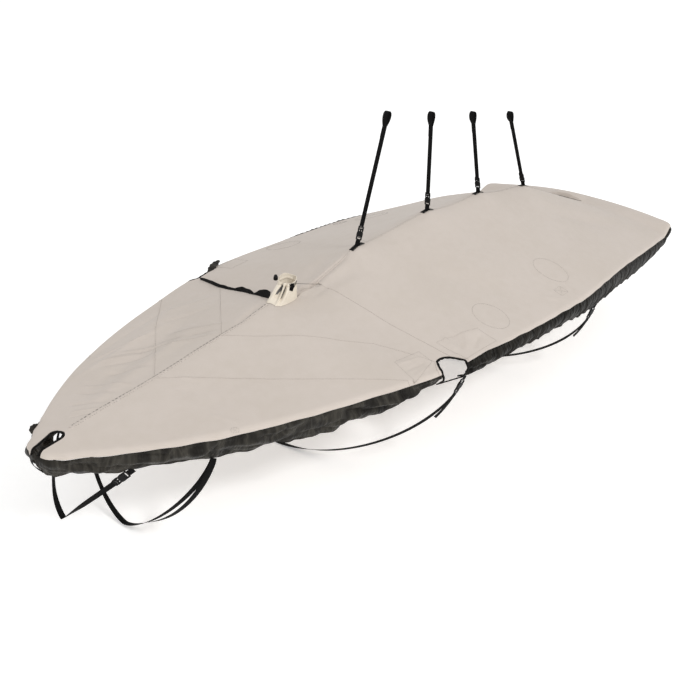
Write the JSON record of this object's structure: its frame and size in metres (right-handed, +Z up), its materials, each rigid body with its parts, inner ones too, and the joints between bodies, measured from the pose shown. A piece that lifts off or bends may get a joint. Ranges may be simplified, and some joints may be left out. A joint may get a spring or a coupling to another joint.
{
  "type": "boat cover",
  "caption": "Fitted tent-shaped canvas cover for a small sailing dinghy, with a mast collar, shroud cutouts, lift straps, an elastic skirt and hull straps.",
  "frame": {"origin": "on the centreline amidships, at the height of the gunwale that the cover is fitted over", "axes": "+X towards the bow, +Y to port, +Z up"},
  "size_m": [4.2546, 1.6443, 1.4576],
  "materials": {
    "canvas": "matt plain weave",
    "canvas_collar": "matt plain weave, less faded",
    "nylon": "soft sheen",
    "webbing": "ribbed webbing",
    "plastic": "satin moulded plastic"
  },
  "bodies": {
    "root": {"binding_cutout_port": "nylon", "binding_cutout_starboard": "nylon", "binding_slot": "nylon", "closure_flap": "webbing", "collar_cord_lock": "plastic", "collar_tab": "webbing", "lift_1_buckle": "plastic", "lift_1_foot": "webbing", "lift_1_strap": "webbing", "lift_2_buckle": "plastic", "lift_2_foot": "webbing", "lift_2_strap": "webbing", "lift_3_buckle": "plastic", "lift_3_foot": "webbing", "lift_3_strap": "webbing", "lift_4_buckle": "plastic", "lift_4_foot": "webbing", "lift_4_strap": "webbing", "mast_collar": "canvas_collar", "panel_aft_port": "canvas", "panel_aft_starboard": "canvas", "panel_bow_port": "canvas", "panel_bow_starboard": "canvas", "panel_fore_port": "canvas", "panel_fore_starboard": "canvas", "panel_mast_port": "canvas", "panel_mast_starboard": "canvas", "skirt_aft_port": "nylon", "skirt_aft_starboard": "nylon", "skirt_fore_port": "nylon", "skirt_fore_starboard": "nylon", "skirt_transom": "nylon", "stem_strip": "webbing", "strap_aft": "webbing", "strap_aft_buckle": "plastic", "strap_aft_tab": "webbing", "strap_aft_tail": "webbing", "strap_bow": "webbing", "strap_bow_buckle": "plastic", "strap_bow_tab": "webbing", "strap_fore": "webbing", "strap_fore_tail": "webbing", "strap_mid": "webbing", "strap_mid_buckle": "plastic", "strap_mid_tab": "webbing", "strap_mid_tail": "webbing"}
  },
  "joints": []
}
